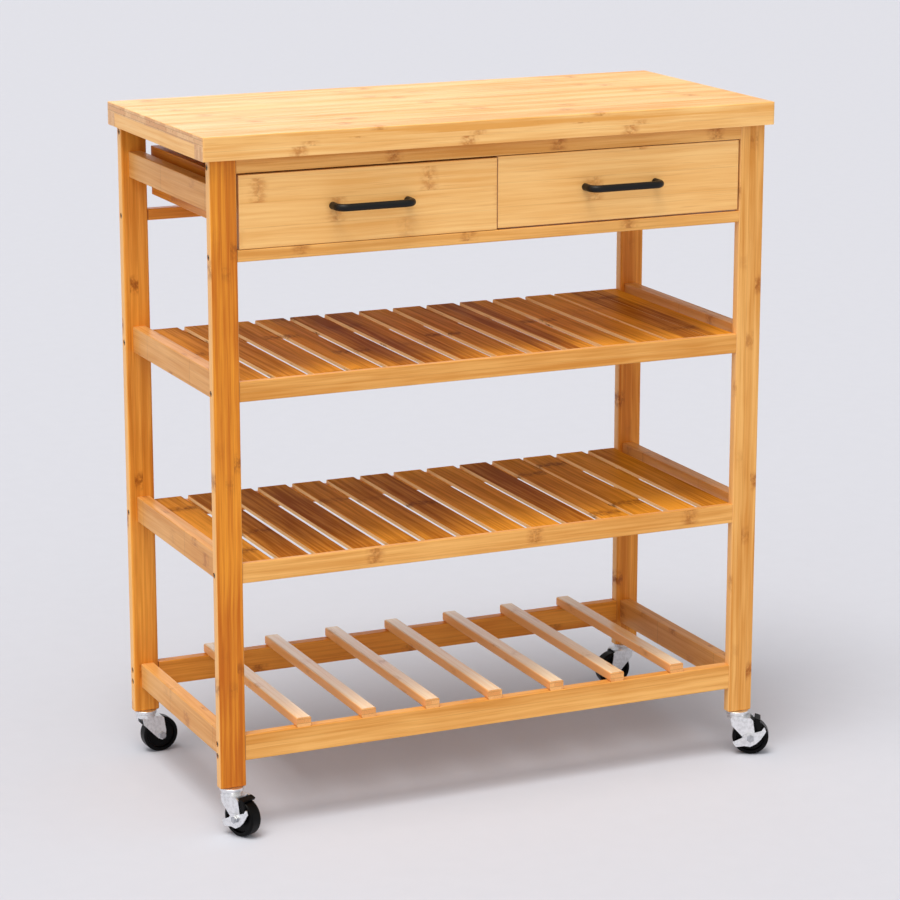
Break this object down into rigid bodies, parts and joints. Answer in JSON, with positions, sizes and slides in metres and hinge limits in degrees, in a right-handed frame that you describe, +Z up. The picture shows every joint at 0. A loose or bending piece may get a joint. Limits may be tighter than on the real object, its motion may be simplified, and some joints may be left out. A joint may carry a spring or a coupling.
{
  "type": "rolling utility cart",
  "caption": "A wooden rolling cart: worktop, pull-out drawers with bar handles, slatted shelves, a bottom rack, end towel rails and swivel casters, the front ones braked.",
  "frame": {"origin": "on the floor, at the middle of the whole cart's footprint with its handles and swivelled casters; the wooden frame's middle is 7 mm to the left and 14 mm behind it", "axes": "X along the cart to the right as seen from the drawers, Y from the drawer side to the back, Z up"},
  "size_m": [0.8135, 0.3978, 0.904],
  "materials": {
    "bamboo_top": "gloss lacquer",
    "bamboo_frame": "gloss lacquer",
    "bamboo_drawer": "gloss lacquer",
    "bamboo_slats": "gloss lacquer",
    "plywood": "satin",
    "zinc_steel": "bright zinc plate",
    "bolt_steel": "satin",
    "handle_black": "matte powder coat",
    "wheel_black": "gloss",
    "pedal_black": "satin"
  },
  "bodies": {
    "frame": {"caster_stems": "zinc_steel", "drawer_divider": "bamboo_frame", "drawer_rail_back": "bamboo_frame", "drawer_rail_front": "bamboo_frame", "drawer_runners": "bamboo_frame", "frame_bolts": "bolt_steel", "leg_back_left": "bamboo_frame", "leg_back_right": "bamboo_frame", "leg_front_left": "bamboo_frame", "leg_front_right": "bamboo_frame", "middle_shelf_rail_back": "bamboo_frame", "middle_shelf_rail_front": "bamboo_frame", "middle_shelf_rail_left": "bamboo_frame", "middle_shelf_rail_right": "bamboo_frame", "middle_shelf_slats": "bamboo_slats", "rack_bars": "bamboo_slats", "rack_rail_back": "bamboo_frame", "rack_rail_front": "bamboo_frame", "rack_side_rails": "bamboo_frame", "top_battens": "bamboo_top", "top_panel": "bamboo_top", "top_rail_back": "bamboo_frame", "top_rail_front": "bamboo_frame", "towel_rail_left": "bamboo_frame", "towel_rail_right": "bamboo_frame", "upper_shelf_rail_back": "bamboo_frame", "upper_shelf_rail_front": "bamboo_frame", "upper_shelf_rail_left": "bamboo_frame", "upper_shelf_rail_right": "bamboo_frame", "upper_shelf_slats": "bamboo_slats"},
    "caster_back_left_swivel": {"caster_back_left_axle": "zinc_steel", "caster_back_left_fork": "zinc_steel"},
    "caster_back_left_roll": {"caster_back_left_wheel": "wheel_black"},
    "caster_back_right_swivel": {"caster_back_right_axle": "zinc_steel", "caster_back_right_fork": "zinc_steel"},
    "caster_back_right_roll": {"caster_back_right_wheel": "wheel_black"},
    "caster_front_left_swivel": {"caster_front_left_axle": "zinc_steel", "caster_front_left_fork": "zinc_steel"},
    "caster_front_left_brake": {"caster_front_left_brake_pedal": "pedal_black", "caster_front_left_brake_plate": "zinc_steel"},
    "caster_front_left_roll": {"caster_front_left_wheel": "wheel_black"},
    "caster_front_right_swivel": {"caster_front_right_axle": "zinc_steel", "caster_front_right_fork": "zinc_steel"},
    "caster_front_right_brake": {"caster_front_right_brake_pedal": "pedal_black", "caster_front_right_brake_plate": "zinc_steel"},
    "caster_front_right_roll": {"caster_front_right_wheel": "wheel_black"},
    "drawer_left": {"drawer_left_back": "bamboo_drawer", "drawer_left_bottom": "plywood", "drawer_left_front": "bamboo_drawer", "drawer_left_handle": "handle_black", "drawer_left_handle_screws": "bolt_steel", "drawer_left_inner_side": "bamboo_drawer", "drawer_left_outer_side": "bamboo_drawer"},
    "drawer_right": {"drawer_right_back": "bamboo_drawer", "drawer_right_bottom": "plywood", "drawer_right_front": "bamboo_drawer", "drawer_right_handle": "handle_black", "drawer_right_handle_screws": "bolt_steel", "drawer_right_inner_side": "bamboo_drawer", "drawer_right_outer_side": "bamboo_drawer"}
  },
  "joints": [
    {"name": "drawer_left_slide", "type": "slide", "parent": "frame", "child": "drawer_left", "axis": [0, -1, 0], "range_m": [0, 0.23]},
    {"name": "drawer_right_slide", "type": "slide", "parent": "frame", "child": "drawer_right", "axis": [0, -1, 0], "range_m": [0, 0.23]},
    {"name": "caster_front_left_turn", "type": "hinge", "parent": "frame", "child": "caster_front_left_swivel", "pos_m": [-0.379, -0.1555, 0.05635], "axis": [0, 0, 1], "continuous": true},
    {"name": "caster_front_left_spin", "type": "hinge", "parent": "caster_front_left_swivel", "child": "caster_front_left_roll", "pos_m": [-0.37082, -0.17265, 0.025], "axis": [0.9026, 0.4305, 0], "continuous": true},
    {"name": "caster_front_left_brake_lever", "type": "hinge", "parent": "caster_front_left_swivel", "child": "caster_front_left_brake", "pos_m": [-0.37082, -0.17265, 0.025], "axis": [0.9026, 0.4305, 0], "range_deg": [0, 20]},
    {"name": "caster_front_right_turn", "type": "hinge", "parent": "frame", "child": "caster_front_right_swivel", "pos_m": [0.365, -0.1555, 0.05635], "axis": [0, 0, 1], "continuous": true},
    {"name": "caster_front_right_spin", "type": "hinge", "parent": "caster_front_right_swivel", "child": "caster_front_right_roll", "pos_m": [0.38145, -0.165, 0.025], "axis": [0.5, 0.866, 0], "continuous": true},
    {"name": "caster_front_right_brake_lever", "type": "hinge", "parent": "caster_front_right_swivel", "child": "caster_front_right_brake", "pos_m": [0.38145, -0.165, 0.025], "axis": [0.5, 0.866, 0], "range_deg": [0, 20]},
    {"name": "caster_back_left_turn", "type": "hinge", "parent": "frame", "child": "caster_back_left_swivel", "pos_m": [-0.379, 0.1835, 0.05635], "axis": [0, 0, 1], "continuous": true},
    {"name": "caster_back_left_spin", "type": "hinge", "parent": "caster_back_left_swivel", "child": "caster_back_left_roll", "pos_m": [-0.36003, 0.18449, 0.025], "axis": [-0.0523, 0.9986, 0], "continuous": true},
    {"name": "caster_back_right_turn", "type": "hinge", "parent": "frame", "child": "caster_back_right_swivel", "pos_m": [0.365, 0.1835, 0.05635], "axis": [0, 0, 1], "continuous": true},
    {"name": "caster_back_right_spin", "type": "hinge", "parent": "caster_back_right_swivel", "child": "caster_back_right_roll", "pos_m": [0.346, 0.1835, 0.025], "axis": [0, -1, 0], "continuous": true}
  ]
}
